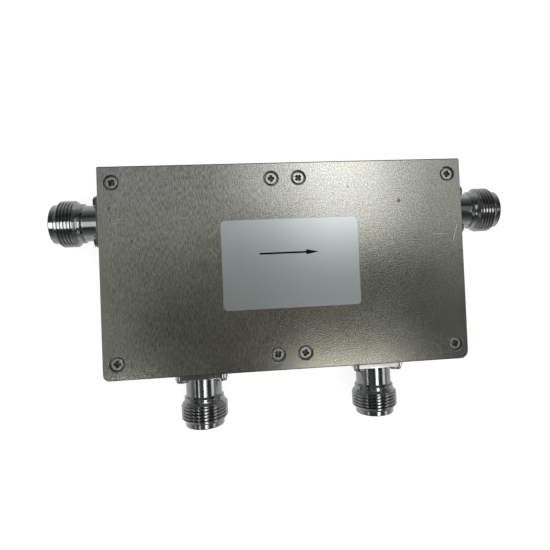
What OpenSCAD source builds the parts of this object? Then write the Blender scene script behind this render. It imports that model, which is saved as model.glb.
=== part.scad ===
// Dual junction circulator block: a machined box with four type N panel sockets.
// The part lies on its underside. X runs along the body, Y up its label face, Z out of its cover.

/* [Body] */
// Length of the body from side to side
body_w = 120; // [116:1:130]
// Height of the body on its label face
body_h = 68; // [65:1:76]
// Thickness of the body with its cover
body_t = 25.5; // [24:0.5:30]
// Thickness of the cover plate
cover_t = 3; // [2.6:0.1:3.6]
// Radius of the two upper corners
upper_corner_r = 0.5; // [0.4:0.1:3]
// Radius of the lower left corner
lower_left_corner_r = 2; // [0.5:0.1:3]
// Radius of the lower right corner
lower_right_corner_r = 2.8; // [0.5:0.1:3.2]
// Chamfer along the outer edges of the cover and of the underside
edge_chamfer = 0.3; // [0.1:0.05:0.35]

/* [Cover screws] */
// Distance of the outer cover screws from the body's sides
cover_screw_inset_x = 4.5; // [4:0.1:6]
// Distance of the cover screws from the upper and lower edges
cover_screw_inset_y = 5.2; // [4.5:0.1:6.5]
// Distance between the two middle screws of an edge
middle_screw_gap = 9; // [7:0.5:14]
// Diameter of a cover screw's head
cover_head_d = 3.8; // [3.4:0.1:4.3]
// Height of a cover screw's head
cover_head_h = 1.4; // [1:0.1:1.6]
// Diameter of the counterbore that takes a cover screw's head
counterbore_d = 5; // [4.6:0.1:5.6]
// Depth of the counterbore
counterbore_h = 1.8; // [1.6:0.1:2.2]
// Length of a cover screw under its head
cover_screw_l = 8; // [6:0.5:12]

/* [Flange screws] */
// Diameter of a flange screw's head
flange_head_d = 4; // [3.6:0.1:4.6]
// Height of a flange screw's head
flange_head_h = 1; // [0.8:0.1:1.8]
// Length of a flange screw under its head
flange_screw_l = 6.5; // [5:0.5:8]

/* [All screws] */
// Diameter of every screw's shank
shank_d = 2.4; // [2:0.1:2.6]
// Width of the wings of the cross recess in a screw's head
recess_wing_w = 0.75; // [0.4:0.05:0.9]
// Reach of the cross recess from tip to tip
recess_span = 2.3; // [1.8:0.1:2.8]
// Depth of the cross recess
recess_h = 0.7; // [0.4:0.1:0.75]
// Bevel round the rim of a screw's head
head_bevel = 0.3; // [0.1:0.05:0.5]

/* [Connector places] */
// Height of the side connectors' axis above the body's middle line
side_port_y = 17; // [15:0.5:18.5]
// Distance of each lower connector's axis from the body's middle line
lower_port_x = 30; // [28:0.5:32]

/* [Connector shell] */
// Width of the square flange
flange_w = 17.5; // [17:0.1:19.5]
// Thickness of a side connector's flange
side_flange_t = 1.8; // [1.5:0.1:3]
// Thickness of a lower connector's flange
lower_flange_t = 2.4; // [1.5:0.1:3]
// Radius of the flange's corners
flange_corner_r = 2; // [0.5:0.1:3]
// Distance between neighbouring screws of the flange
flange_screw_gap = 12.7; // [12.5:0.1:13.5]
// Diameter of the barrel next to the flange
barrel_d = 12.3; // [11.5:0.1:13]
// Length of a side connector's barrel
side_barrel_l = 5.5; // [4:0.1:8]
// Length of a lower connector's barrel
lower_barrel_l = 6.7; // [4:0.1:8]
// Length of the slope from the barrel up to the collar
collar_slope_l = 0.6; // [0.3:0.1:1.2]
// Diameter of the collar behind the thread
collar_d = 13.6; // [13.1:0.1:14.2]
// Length of the collar
collar_l = 1.2; // [0.6:0.1:2.5]
// Length of the thread's run-in slope
run_in_l = 1.4; // [0.6:0.1:2]
// Outer diameter of the thread
thread_d = 15.875; // [15.5:0.025:16.5]
// Length of the thread at its full diameter
thread_l = 4.5; // [3:0.1:8]
// Length of the thread's run-out slope
run_out_l = 1.2; // [0.6:0.1:2]
// Diameter of the nose in front of the thread
nose_d = 13.4; // [12.5:0.1:14]
// Length of the nose
nose_l = 1.6; // [1:0.1:3]
// Bevel round the nose's front edge
nose_bevel = 0.35; // [0.1:0.05:0.6]
// Diameter of the socket's bore
socket_d = 8.4; // [8:0.1:9]
// Depth of the socket behind the nose's front face
socket_depth = 9.1; // [8:0.1:11]
// Diameter of the socket's flared mouth
mouth_d = 9.6; // [9.2:0.1:10.4]
// Depth of the flared mouth
mouth_l = 0.6; // [0.3:0.1:1.2]
// Diameter of the bore behind the socket
back_bore_d = 7; // [6.4:0.1:7.6]

/* [Contact and insulator] */
// Diameter of the contact
contact_d = 3.04; // [2.8:0.02:3.3]
// Distance of the contact's tip behind the nose's front face
contact_set_back = 4.6; // [4.2:0.1:6]
// Diameter of the hole in the contact's tip
contact_bore_d = 1.7; // [1.5:0.05:1.9]
// Depth of the hole in the contact's tip
contact_bore_l = 5; // [4.2:0.1:6]
// Width of the slots in the contact's tip
contact_slot_w = 0.35; // [0.2:0.05:0.5]
// Length of the slots in the contact's tip
contact_slot_l = 3.6; // [2:0.1:4]
// Diameter of the shoulder that stops the contact behind its insulator
shoulder_d = 4.4; // [3.8:0.1:5.5]
// Length of the shoulder
shoulder_l = 0.8; // [0.5:0.1:1.5]
// Diameter of the contact's tail
tail_d = 2; // [1.6:0.1:2.6]
// Length of the slot in the tail that takes the conductor arm
tail_slot_l = 2.5; // [2:0.1:3.5]
// Diameter of the insulator's back, which sits in the housing wall
insulator_back_d = 9.8; // [9:0.1:11]
// Length of the insulator's back
insulator_back_l = 4; // [2:0.1:4.5]

/* [Junction stacks] */
// Height of both junctions' centres above the body's middle line
junction_y = 0; // [-1:0.25:1]
// Diameter of the magnets and pole plates
magnet_d = 34; // [31:0.5:36]
// Depth of the seat that holds each magnet in floor and cover
magnet_seat_h = 0.5; // [0.3:0.1:0.8]
// Thickness of a pole plate
pole_t = 1.5; // [1:0.1:2.5]
// Diameter of the ferrite discs
ferrite_d = 28; // [25:0.5:29]
// Thickness of a ferrite disc
ferrite_t = 3.8; // [3:0.1:4.5]

/* [Conductors] */
// Thickness of the conductor strips
strip_t = 0.2; // [0.1:0.05:0.4]
// Thickness of the insulating films between the strips
film_t = 0.15; // [0.1:0.05:0.3]
// Width of a strip where it crosses the ferrite
strip_w = 5; // [4:0.1:7]
// Width of the slit along the middle of a strip
strip_slit_w = 1.4; // [0.8:0.1:2]
// Reach of a strip past the rim of the ferrite
strip_lip = 0.6; // [0.4:0.1:1]
// Width of the arm that leads from a strip to its port
arm_w = 2.4; // [1.6:0.1:3]
// Width of the link channel between the two chambers
channel_w = 7; // [6:0.1:9]
// Length of the link support along the body
support_l = 8; // [5:0.5:10]
// Width of the link support
support_w = 5; // [4:0.1:5.8]

/* [Capacitors] */
// Length of a tuning capacitor, outward from its junction
capacitor_l = 4.8; // [4:0.1:5.5]
// Width of a tuning capacitor
capacitor_w = 6; // [4:0.1:7]
// Height of a tuning capacitor
capacitor_h = 3.5; // [3.4:0.1:5]

/* [Mounting holes] */
// Distance of the mounting holes from the body's sides
mounting_inset_x = 8; // [7:0.5:12]
// Distance of the mounting holes from the upper and lower edges
mounting_inset_y = 7; // [6:0.5:8]
// Diameter of a mounting hole
mounting_hole_d = 2.5; // [2:0.1:3.3]
// Depth of a mounting hole
mounting_hole_l = 6; // [4:0.5:8]

/* [Label] */
// Width of the label
label_w = 45.2; // [30:0.1:60]
// Height of the label
label_h = 29.2; // [20:0.1:36]
// Thickness of the label
label_t = 0.15; // [0.1:0.01:0.3]
// Radius of the label's corners
label_corner_r = 1.4; // [0.5:0.1:3]
// Distance of the label's centre to the right of the face's centre
label_shift_x = 1.1; // [-5:0.1:5]
// Distance of the label's centre above the face's centre
label_shift_y = 0.8; // [-3:0.1:3]

/* [Fits] */
// Gap round a shank in its tapped hole and round turned pieces in their bores
fit_gap = 0.05; // [0.03:0.01:0.08]
// Gap round a shank in the plate that it holds down
pass_gap = 0.2; // [0.1:0.05:0.3]
// Gap round a magnet in its seat
seat_gap = 0.25; // [0.1:0.05:0.3]
// Gap beside a capacitor or a conductor end
part_gap = 0.3; // [0.2:0.05:0.4]
// Room left past a screw's tip in its tapped hole
tip_gap = 0.8; // [0.5:0.1:1.5]
// Room between the side arm's bend and the wall that it turns round
bend_gap = 1.2; // [1:0.1:1.5]

/* [Hidden] */
$fn = 96;
// How far a cutter runs past the face that it opens
over = 0.05;

axis_z = body_t / 2;
housing_h = body_t - cover_t;
floor_t = cover_t - magnet_seat_h;
screw_seat_z = body_t - counterbore_h;

// The stack from the floor to the middle: magnet, pole plate, ferrite, half of the strips and films
pack_t = 3 * strip_t + 2 * film_t;
pack_z = axis_z - pack_t / 2;
lower_ferrite_z = pack_z - ferrite_t;
pole_z = lower_ferrite_z - pole_t;
magnet_t = pole_z - floor_t;
level_step = strip_t + film_t;
arm_z = axis_z - strip_t / 2;
ledge_z = arm_z - capacitor_h;

pocket_r = magnet_d / 2 + seat_gap;
ferrite_r = ferrite_d / 2;
lip_r = ferrite_r + strip_lip;
capacitor_in_r = pocket_r + part_gap;
capacitor_out_r = capacitor_in_r + capacitor_l;
capacitor_mid_r = capacitor_in_r + capacitor_l / 2;
chamber_r = norm([capacitor_out_r, capacitor_w / 2]) + part_gap;

// How far each passage runs from its wall to the middle of the junction
side_reach = body_w / 2 - lower_port_x;
lower_reach = body_h / 2 + junction_y;
passage_r = back_bore_d / 2;

// The side arm bends where its passage opens into the chamber. The tails end just outside
// that bend and just outside the lower port's capacitor.
side_arm_y = side_port_y - junction_y;
side_bend_x = sqrt(chamber_r * chamber_r - pow(side_arm_y - passage_r, 2)) - arm_w / 2 - bend_gap;
side_tail_x = side_bend_x + arm_w / 2 + part_gap;
lower_tail_y = capacitor_out_r + part_gap;
arm_insert = tail_slot_l - part_gap - arm_w / 2;

LOWER_ANGLE = 270;
SIDE_ANGLE = 150;
LINK_ANGLE = 30;
link_y = junction_y + capacitor_mid_r * sin(LINK_ANGLE);
link_end_x = lower_port_x - capacitor_mid_r * cos(LINK_ANGLE);

shank_r = shank_d / 2;
tapped_r = shank_r + fit_gap;
pass_r = shank_r + pass_gap;

cover_screw_x = body_w / 2 - cover_screw_inset_x;
cover_screw_y = body_h / 2 - cover_screw_inset_y;
COVER_SCREWS = [for (y = [-1, 1], x = [-cover_screw_x, -middle_screw_gap / 2, middle_screw_gap / 2, cover_screw_x])
    [x, y * cover_screw_y]];
// Step between the turns at which neighbouring screws came to rest
screw_turn = 37;

// Each corner: side along X, side along Y, radius. In this order they run round the outline.
CORNERS = [
    [1, 1, upper_corner_r],
    [-1, 1, upper_corner_r],
    [-1, -1, lower_left_corner_r],
    [1, -1, lower_right_corner_r]
];

// Sizes of the side and of the lower connectors: length of the passage, length of the contact
// behind the wall's face, thickness of the flange, length of the barrel
SIDE_SIZES = [side_reach, side_reach - side_tail_x, side_flange_t, side_barrel_l];
LOWER_SIZES = [lower_reach, lower_reach - lower_tail_y, lower_flange_t, lower_barrel_l];
// Each connector: name, place of its axis on the wall, heading, sizes
CONNECTORS = [
    ["left_connector", [-body_w / 2, side_port_y], 180, SIDE_SIZES],
    ["right_connector", [body_w / 2, side_port_y], 0, SIDE_SIZES],
    ["lower_left_connector", [-lower_port_x, -body_h / 2], -90, LOWER_SIZES],
    ["lower_right_connector", [lower_port_x, -body_h / 2], -90, LOWER_SIZES]
];
// Each junction: name and side
JUNCTIONS = [["left_junction", -1], ["right_junction", 1]];
// Each strip: name, direction of its port, level in the crossing
STRIPS = [["lower_port", LOWER_ANGLE, 0], ["side_port", SIDE_ANGLE, 1], ["link_port", LINK_ANGLE, 2]];

nickel = [0.6, 0.6, 0.57];
bright_nickel = [0.75, 0.76, 0.75];
gold = [0.83, 0.68, 0.32];
copper = [0.8, 0.5, 0.35];

// What a connector's list of sizes holds
function passage_l(sizes) = sizes[0];
function contact_back_l(sizes) = sizes[1];
function flange_t(sizes) = sizes[2];
function barrel_l(sizes) = sizes[3];

// Stations along a connector's axis, from the wall that its flange sits on
function collar_slope_z(sizes) = flange_t(sizes) + barrel_l(sizes);
function collar_z(sizes) = collar_slope_z(sizes) + collar_slope_l;
function run_in_z(sizes) = collar_z(sizes) + collar_l;
function thread_z(sizes) = run_in_z(sizes) + run_in_l;
function run_out_z(sizes) = thread_z(sizes) + thread_l;
function nose_z(sizes) = run_out_z(sizes) + run_out_l;
function front_z(sizes) = nose_z(sizes) + nose_l;
function socket_z(sizes) = front_z(sizes) - socket_depth;
function tip_z(sizes) = front_z(sizes) - contact_set_back;

// A point at a distance and direction from the junction's middle
function polar(r, angle) = [r * cos(angle), r * sin(angle)];

// Places what is drawn at the origin onto a connector's wall, with its axis along +Z turned outward
module at_connector(c) {
    translate([c[1][0], c[1][1], axis_z])
        rotate([0, 90, c[2]])
            children();
}

// Places what is drawn for the left junction, and mirrors it for the right one
module at_junction(j) {
    mirror([j[1] > 0 ? 1 : 0, 0, 0])
        translate([-lower_port_x, junction_y, 0])
            children();
}

module at_cover_screws() {
    for (i = [0:len(COVER_SCREWS) - 1])
        translate(COVER_SCREWS[i])
            rotate(i * screw_turn)
                children();
}

module at_flange_screws() {
    for (i = [0:3])
        rotate(i * 90)
            translate([flange_screw_gap / 2, flange_screw_gap / 2, 0])
                rotate(i * screw_turn)
                    children();
}

// Rectangle with its own radius at each corner
module rounded_outline(w, h, corners) {
    difference() {
        square([w, h], center = true);
        for (c = corners)
            mirror([c[0] > 0 ? 1 : 0, 0, 0])
                mirror([0, c[1] > 0 ? 1 : 0, 0])
                    translate([-w / 2, -h / 2])
                        difference() {
                            translate([-over, -over])
                                square(c[2] + over);
                            translate([c[2], c[2]])
                                circle(c[2]);
                        }
    }
}

function all_corners(r) = [for (c = CORNERS) [c[0], c[1], r]];

// Section of the cutter that bevels an outer edge: the edge is at the origin, the metal to the lower left
module bevel_section() {
    polygon([
        [-edge_chamfer - over, over],
        [over, over],
        [over, -edge_chamfer - over]
    ]);
}

// Cutter for the bevel round the body's outline, below the plane Z = 0
module outline_bevel() {
    for (i = [0:3]) {
        from = CORNERS[i];
        to = CORNERS[(i + 1) % 4];
        length = (i % 2 == 0 ? body_w : body_h) - from[2] - to[2] + 2 * over;
        translate([from[0] * body_w / 2, from[1] * body_h / 2, 0]) {
            // along the edge that runs on from this corner
            rotate(i * 90 + 180)
                translate([from[2] - over, 0, 0])
                    mirror([0, 1, 0])
                        rotate([90, 0, 90])
                            linear_extrude(length)
                                bevel_section();
            // round the corner itself
            rotate(i * 90)
                translate([-from[2], -from[2], 0])
                    rotate_extrude(angle = 90)
                        translate([from[2], 0])
                            bevel_section();
        }
    }
}

// A screw with its head's underside at Z = 0
module screw(head_d, head_h, length) {
    difference() {
        rotate_extrude()
            polygon([
                [0, -length],
                [shank_r - head_bevel, -length],
                [shank_r, -length + head_bevel],
                [shank_r, 0],
                [head_d / 2, 0],
                [head_d / 2, head_h - head_bevel],
                [head_d / 2 - head_bevel, head_h],
                [0, head_h]
            ]);
        for (turn = [0, 90])
            rotate(turn)
                translate([-recess_span / 2, -recess_wing_w / 2, head_h - recess_h])
                    cube([recess_span, recess_wing_w, recess_h + over]);
    }
}

// What a connector needs in its wall: seat for the insulator, passage to the chamber, four tapped holes
module wall_cuts(sizes) {
    translate([0, 0, -insulator_back_l])
        cylinder(d = insulator_back_d + 2 * fit_gap, h = insulator_back_l + over);
    translate([0, 0, -passage_l(sizes)])
        cylinder(r = passage_r, h = passage_l(sizes) + over);
    at_flange_screws()
        translate([0, 0, -flange_screw_l + flange_t(sizes) - tip_gap])
            cylinder(r = tapped_r, h = flange_screw_l + tip_gap);
}

module housing() {
    color(nickel)
        difference() {
            linear_extrude(housing_h)
                rounded_outline(body_w, body_h, CORNERS);
            mirror([0, 0, 1])
                outline_bevel();
            for (j = JUNCTIONS)
                at_junction(j) {
                    translate([0, 0, floor_t])
                        cylinder(r = pocket_r, h = housing_h);
                    translate([0, 0, ledge_z])
                        cylinder(r = chamber_r, h = housing_h);
                }
            translate([-lower_port_x, link_y - channel_w / 2, ledge_z])
                cube([2 * lower_port_x, channel_w, housing_h]);
            for (c = CONNECTORS)
                at_connector(c)
                    wall_cuts(c[3]);
            at_cover_screws()
                translate([0, 0, screw_seat_z - cover_screw_l - tip_gap])
                    cylinder(r = tapped_r, h = housing_h);
            for (x = [-1, 1], y = [-1, 1])
                translate([x * (body_w / 2 - mounting_inset_x), y * (body_h / 2 - mounting_inset_y), -over])
                    cylinder(d = mounting_hole_d, h = mounting_hole_l + over);
        }
}

module top_cover() {
    color(nickel)
        difference() {
            translate([0, 0, housing_h])
                linear_extrude(cover_t)
                    rounded_outline(body_w, body_h, CORNERS);
            translate([0, 0, body_t])
                outline_bevel();
            for (j = JUNCTIONS)
                at_junction(j)
                    translate([0, 0, housing_h - over])
                        cylinder(r = pocket_r, h = magnet_seat_h + over);
            at_cover_screws() {
                translate([0, 0, housing_h - over])
                    cylinder(r = pass_r, h = cover_t + 2 * over);
                translate([0, 0, screw_seat_z])
                    cylinder(d = counterbore_d, h = counterbore_h + over);
            }
        }
}

module cover_screws() {
    color(bright_nickel)
        at_cover_screws()
            translate([0, 0, screw_seat_z])
                screw(cover_head_d, cover_head_h, cover_screw_l);
}

module label() {
    color("silver")
        translate([label_shift_x, label_shift_y, body_t])
            linear_extrude(label_t)
                rounded_outline(label_w, label_h, all_corners(label_corner_r));
}

// Turned socket body with its square flange, drawn with the flange's back at Z = 0
module shell(sizes) {
    front = front_z(sizes);
    color(bright_nickel)
        difference() {
            union() {
                linear_extrude(flange_t(sizes))
                    rounded_outline(flange_w, flange_w, all_corners(flange_corner_r));
                rotate_extrude()
                    polygon([
                        [0, 0],
                        [barrel_d / 2, 0],
                        [barrel_d / 2, collar_slope_z(sizes)],
                        [collar_d / 2, collar_z(sizes)],
                        [collar_d / 2, run_in_z(sizes)],
                        [thread_d / 2, thread_z(sizes)],
                        [thread_d / 2, run_out_z(sizes)],
                        [nose_d / 2, nose_z(sizes)],
                        [nose_d / 2, front - nose_bevel],
                        [nose_d / 2 - nose_bevel, front],
                        [0, front]
                    ]);
            }
            rotate_extrude()
                polygon([
                    [0, -over],
                    [back_bore_d / 2, -over],
                    [back_bore_d / 2, socket_z(sizes)],
                    [socket_d / 2, socket_z(sizes)],
                    [socket_d / 2, front - mouth_l],
                    [mouth_d / 2, front],
                    [mouth_d / 2, front + over],
                    [0, front + over]
                ]);
            at_flange_screws()
                translate([0, 0, -over])
                    cylinder(r = pass_r, h = flange_t(sizes) + 2 * over);
        }
}

module flange_screws(sizes) {
    color(bright_nickel)
        at_flange_screws()
            translate([0, 0, flange_t(sizes)])
                screw(flange_head_d, flange_head_h, flange_screw_l);
}

// Stepped insulator: its back sits in the wall, its front fills the bore behind the socket
module insulator(sizes) {
    color("white")
        difference() {
            rotate_extrude()
                polygon([
                    [0, -insulator_back_l],
                    [insulator_back_d / 2, -insulator_back_l],
                    [insulator_back_d / 2, 0],
                    [back_bore_d / 2 - fit_gap, 0],
                    [back_bore_d / 2 - fit_gap, socket_z(sizes)],
                    [0, socket_z(sizes)]
                ]);
            translate([0, 0, -insulator_back_l - over])
                cylinder(d = contact_d + 2 * fit_gap, h = insulator_back_l + socket_z(sizes) + 2 * over);
        }
}

// Contact: a slotted tube at the tip, a shoulder behind the insulator, a slotted tail in the chamber
module contact(sizes) {
    tip = tip_z(sizes);
    back = contact_back_l(sizes);
    shoulder_z = -insulator_back_l - shoulder_l;
    color(gold)
        difference() {
            rotate_extrude()
                polygon([
                    [0, -back],
                    [tail_d / 2, -back],
                    [tail_d / 2, shoulder_z],
                    [shoulder_d / 2, shoulder_z],
                    [shoulder_d / 2, -insulator_back_l],
                    [contact_d / 2, -insulator_back_l],
                    [contact_d / 2, tip],
                    [0, tip]
                ]);
            translate([0, 0, tip - contact_bore_l])
                cylinder(d = contact_bore_d, h = contact_bore_l + over);
            for (turn = [45, 135])
                rotate(turn)
                    translate([-contact_d, -contact_slot_w / 2, tip - contact_slot_l])
                        cube([2 * contact_d, contact_slot_w, contact_slot_l + over]);
            translate([-strip_t / 2 - fit_gap, -tail_d, -back - over])
                cube([strip_t + 2 * fit_gap, 2 * tail_d, tail_slot_l + over]);
        }
}

// Disc of the stack, centred on the junction
module disc(d, z, t) {
    translate([0, 0, z])
        cylinder(d = d, h = t);
}

module magnet(upper) {
    color("dimgray")
        disc(magnet_d, upper ? body_t - floor_t - magnet_t : floor_t, magnet_t);
}

module pole_plate(upper) {
    color("darkgray")
        disc(magnet_d, upper ? pack_z + pack_t + ferrite_t : pole_z, pole_t);
}

module ferrite(upper) {
    color([0.2, 0.2, 0.22])
        disc(ferrite_d, upper ? pack_z + pack_t : lower_ferrite_z, ferrite_t);
}

module film(upper) {
    color([0.8, 0.55, 0.2])
        disc(ferrite_d, pack_z + strip_t + (upper ? level_step : 0), film_t);
}

// Flat path of round-ended segments through the points
module path(points, w) {
    for (i = [0:len(points) - 2]) {
        step = points[i + 1] - points[i];
        translate(points[i])
            rotate(atan2(step[1], step[0]))
                translate([0, -w / 2])
                    square([norm(step), w]);
    }
    for (p = points)
        translate(p)
            circle(d = w);
}

// Where each strip's arm runs, from the ferrite's rim to its port
function arm_points(angle) =
    angle == LOWER_ANGLE ? [
        polar(lip_r, angle),
        polar(lower_tail_y + arm_insert, angle)
    ] :
    angle == SIDE_ANGLE ? [
        polar(lip_r, angle),
        polar(capacitor_mid_r, angle),
        [-side_bend_x, side_arm_y],
        [-side_tail_x - arm_insert, side_arm_y]
    ] : [
        polar(lip_r, angle),
        polar(capacitor_mid_r, angle)
    ];

// Slit strip over the ferrite, bent down to the pole plate at one end and out to its arm at the other
module strip(angle, level) {
    strip_z = pack_z + level * level_step;
    riser_z = min(strip_z, arm_z);
    color(copper) {
        rotate(angle) {
            translate([0, 0, strip_z])
                linear_extrude(strip_t)
                    difference() {
                        square([2 * lip_r, strip_w], center = true);
                        square([2 * ferrite_r - strip_w, strip_slit_w], center = true);
                    }
            translate([lip_r - strip_t, -strip_w / 2, riser_z])
                cube([strip_t, strip_w, abs(strip_z - arm_z) + strip_t]);
            translate([-lip_r, -strip_w / 2, pole_z + pole_t])
                cube([strip_t, strip_w, strip_z - pole_z - pole_t + strip_t]);
        }
        translate([0, 0, arm_z])
            linear_extrude(strip_t)
                difference() {
                    path(arm_points(angle), arm_w);
                    circle(lip_r - strip_t);
                }
    }
}

module capacitor(angle) {
    color([0.75, 0.65, 0.5])
        rotate(angle)
            translate([capacitor_in_r, -capacitor_w / 2, ledge_z])
                cube([capacitor_l, capacitor_w, capacitor_h]);
}

module link_strip() {
    color(copper)
        translate([0, 0, arm_z + strip_t])
            linear_extrude(strip_t)
                path([[-link_end_x, link_y], [link_end_x, link_y]], arm_w);
}

module link_support() {
    color("white")
        translate([-support_l / 2, link_y - support_w / 2, ledge_z])
            cube([support_l, support_w, capacitor_h + strip_t]);
}

housing();
top_cover();
cover_screws();
label();
link_strip();
link_support();
for (c = CONNECTORS) {
    at_connector(c) shell(c[3]);
    at_connector(c) insulator(c[3]);
    at_connector(c) contact(c[3]);
    at_connector(c) flange_screws(c[3]);
}
for (j = JUNCTIONS) {
    at_junction(j) magnet(false);
    at_junction(j) pole_plate(false);
    at_junction(j) ferrite(false);
    at_junction(j) film(false);
    at_junction(j) film(true);
    at_junction(j) ferrite(true);
    at_junction(j) pole_plate(true);
    at_junction(j) magnet(true);
    for (s = STRIPS) {
        at_junction(j) strip(s[1], s[2]);
        at_junction(j) capacitor(s[1]);
    }
}
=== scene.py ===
"""Dresses the dual junction isolator: its cover, sockets, screws, label and inner stacks."""

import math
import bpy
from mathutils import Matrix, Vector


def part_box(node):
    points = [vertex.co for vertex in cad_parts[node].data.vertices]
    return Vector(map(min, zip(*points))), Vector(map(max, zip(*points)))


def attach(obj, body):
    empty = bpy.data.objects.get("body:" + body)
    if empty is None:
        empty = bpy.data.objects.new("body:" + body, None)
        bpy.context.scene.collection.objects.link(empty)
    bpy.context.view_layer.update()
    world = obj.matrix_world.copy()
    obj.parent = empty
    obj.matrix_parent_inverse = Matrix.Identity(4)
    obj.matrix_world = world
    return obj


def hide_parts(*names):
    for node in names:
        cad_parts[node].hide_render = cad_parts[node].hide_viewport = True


bl_info = {
    "name": "Dual Junction Isolator",
    "version": (1, 0, 0),
    "blender": (4, 5, 0),
    "location": "View3D > Sidebar > Isolator",
    "description": "Builds the visible pieces, finishes and stage of a dual junction isolator",
    "category": "Add Mesh",
}

from functools import partialmethod, reduce

import bmesh
import bpy
from bpy.props import FloatProperty, FloatVectorProperty, PointerProperty
from mathutils import Matrix, Vector

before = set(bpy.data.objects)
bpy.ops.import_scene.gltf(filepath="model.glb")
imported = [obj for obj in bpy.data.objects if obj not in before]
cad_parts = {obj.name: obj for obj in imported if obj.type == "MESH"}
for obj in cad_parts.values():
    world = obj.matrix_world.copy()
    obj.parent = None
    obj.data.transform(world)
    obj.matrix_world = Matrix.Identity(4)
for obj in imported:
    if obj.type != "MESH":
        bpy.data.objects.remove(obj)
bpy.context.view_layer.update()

MM = 0.001
TURN = 2 * math.pi
QUARTER = math.pi / 2
# Edges that turn more than this are sharp
SHARP = math.radians(35)
# How many sides the round walls have
SHELL_SIDES = 112
SEAT_SIDES = 96
BORE_SIDES = 48
SCREW_SIDES = 40
CONTACT_SIDES = 40
HOLE_SIDES = 24

COVER_LOW, COVER_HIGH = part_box("top_cover")
LABEL_LOW, LABEL_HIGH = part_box("label")
JUNCTIONS = ["left_junction_", "right_junction_"]
PORTS = ["lower_port", "side_port", "link_port"]
# Each socket's name and the turn of its axis about the vertical
HEADINGS = {
    "left_connector": math.pi,
    "right_connector": 0,
    "lower_left_connector": -QUARTER,
    "lower_right_connector": -QUARTER,
}
# The socket whose flange takes the darker turned nickel, as painted shade that keeps its edge dim
SHADE_PAINTED_FLANGE = "left_connector"

# Scratches on the cover that the light catches: start, end and width, in millimetres
SCRATCHES = [
    ((58.2, 11.5), (56.5, 5.8), 0.2),
    ((-56.0, 16.5), (-52.3, 17.1), 0.1),
    ((-55.8, 15.9), (-52.9, 16.0), 0.1),
    ((-25.4, 6.7), (-22.8, 3.7), 0.14),
    ((-34.5, 17.0), (-32.5, 16.6), 0.12),
    ((49.3, 8.5), (55.0, 8.3), 0.07),
]

# Dull creases on the cover, in the same terms
CREASES = [
    ((1.4, 19.5), (6.6, 21.6), 0.3),
    ((6.6, 21.6), (12.1, 21.4), 0.3),
]

# Dark spots on the cover: place and radius, in millimetres
SPOTS = [((38.1, 20.1), 0.85), ((-49.7, 9.9), 0.45), ((21.0, 25.3), 0.4), ((-56.3, 20.7), 0.5)]

# The brown stain left of the label, in the same terms
STAIN = ((-27.8, 1.5), 2.6)


def setting(name, description, default, kind=FloatProperty, **options):
    """A value that the user can set."""
    return kind(name=name, description=description, default=default, **options)


def length(kind, part, millimetres):
    """A length of a part, such as its width, that the user can set."""
    name = f"{part}, {kind}".capitalize()
    return setting(name, f"{kind} of the {part}", millimetres * MM, min=0, precision=5, unit="LENGTH")


def share(name, description, value):
    """A share or factor that the user can set."""
    return setting(name, description, value, min=0, subtype="FACTOR")


def angle(name, description, degrees):
    """An angle that the user can set."""
    return setting(name, description, math.radians(degrees), subtype="ANGLE")


def colour(name, description, *tint):
    """A colour that the user can set."""
    return setting(name, description, tint, FloatVectorProperty, min=0, max=1, subtype="COLOR")


class CoverSizes(bpy.types.PropertyGroup):
    """Sizes of the cover plate"""

    upper_corner: length("Radius", "upper corners", 0.5)
    lower_left_corner: length("Radius", "lower left corner", 2.0)
    lower_right_corner: length("Radius", "lower right corner", 2.8)
    edge: length("Rounding", "outer edge", 0.3)
    seam: length("Rounding", "edge on the housing", 0.12)
    inset_x: length("Distance", "outer screws from the sides", 4.5)
    inset_y: length("Distance", "screws from the long edges", 5.2)
    middle_gap: length("Spacing", "middle screws", 9.0)
    counterbore: length("Diameter", "counterbores", 5.0)
    counterbore_depth: length("Depth", "counterbores", 1.8)
    rim: length("Rounding", "counterbores' rims", 0.1)
    hole: length("Diameter", "holes under the counterbores", 2.8)
    seat_gap: length("Width", "gap round a magnet in its seat", 0.25)


class ScrewSizes:
    """Sizes that both kinds of screw have"""

    shank: length("Diameter", "shank", 2.4)
    rim: length("Rounding", "head's rim", 0.2)
    span: length("Width", "cross recess", 2.3)
    wing: length("Width", "wings of the cross recess", 1.0)
    depth: length("Depth", "cross recess", 0.9)
    taper: share("Recess taper", "Share of its size that the recess keeps below", 0.62)
    turn: angle("Turn", "Turn from one screw to the next", 37)


class CoverScrewSizes(ScrewSizes, bpy.types.PropertyGroup):
    """Sizes of the cover screws"""

    head: length("Diameter", "head", 3.8)
    height: length("Height", "head", 1.4)
    reach: length("Length", "part under the head", 8.0)


class FlangeScrewSizes(ScrewSizes, bpy.types.PropertyGroup):
    """Sizes of the flange screws"""

    head: length("Diameter", "head", 4.0)
    height: length("Height", "head", 1.0)
    reach: length("Length", "part under the head", 6.5)


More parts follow.
